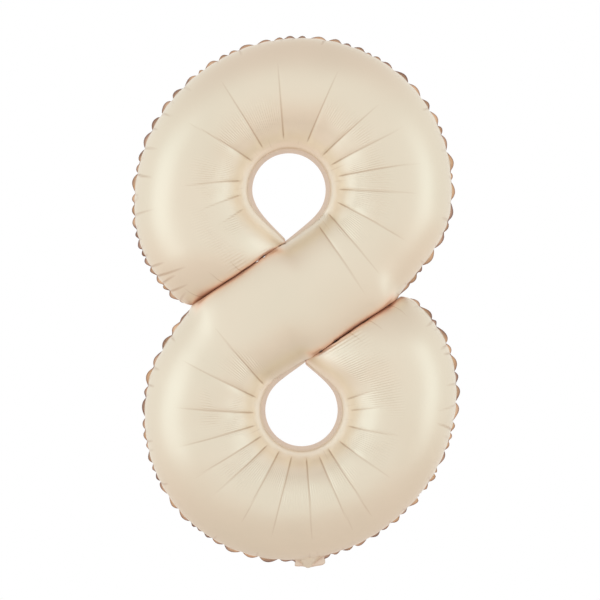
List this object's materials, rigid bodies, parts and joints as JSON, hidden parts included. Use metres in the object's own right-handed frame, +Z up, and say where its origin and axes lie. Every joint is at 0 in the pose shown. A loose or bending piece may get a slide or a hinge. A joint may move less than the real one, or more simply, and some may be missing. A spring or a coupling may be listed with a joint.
{
  "type": "foil number balloon",
  "caption": "Blown-up foil balloon in the shape of a figure eight, with a slit S-shaped tube, sealed seams, a self-closing valve and a foldable filling tail.",
  "frame": {"origin": "middle of the neck's fold line, where a ribbon is tied", "axes": "+Z up along the figure's height, +X to the right seen from the front, +Y from the front sheet to the back sheet"},
  "size_m": [0.5261, 0.164, 0.8629],
  "materials": {
    "foil": "satin pearl metallised film",
    "valve_film": "clear glossy film"
  },
  "bodies": {
    "balloon": {"front_panel": "foil", "back_panel": "foil", "valve_neck_front_film": "valve_film", "valve_neck_back_film": "valve_film"},
    "tail": {"tail_front_sheet": "foil", "tail_back_sheet": "foil", "tail_valve_front_film": "valve_film", "tail_valve_back_film": "valve_film"},
    "front_flap": {"valve_front_flap": "valve_film"},
    "back_flap": {"valve_back_flap": "valve_film"}
  },
  "joints": [
    {"name": "tail_fold", "type": "hinge", "parent": "balloon", "child": "tail", "pos_m": [0, 0, 0], "axis": [1, 0, 0], "range_deg": [-245, 0]},
    {"name": "valve_front_open", "type": "hinge", "parent": "balloon", "child": "front_flap", "pos_m": [0, -0.0002, 0.02115], "axis": [1, 0, 0], "range_deg": [0, 30], "stiffness_Nm_per_rad": 0.0001},
    {"name": "valve_back_open", "type": "hinge", "parent": "balloon", "child": "back_flap", "pos_m": [0, 0.0002, 0.02115], "axis": [1, 0, 0], "range_deg": [-30, 0], "stiffness_Nm_per_rad": 0.0001}
  ],
  "couplings": [
    {"joint": "valve_back_open", "follows": "valve_front_open", "ratio": -1}
  ]
}
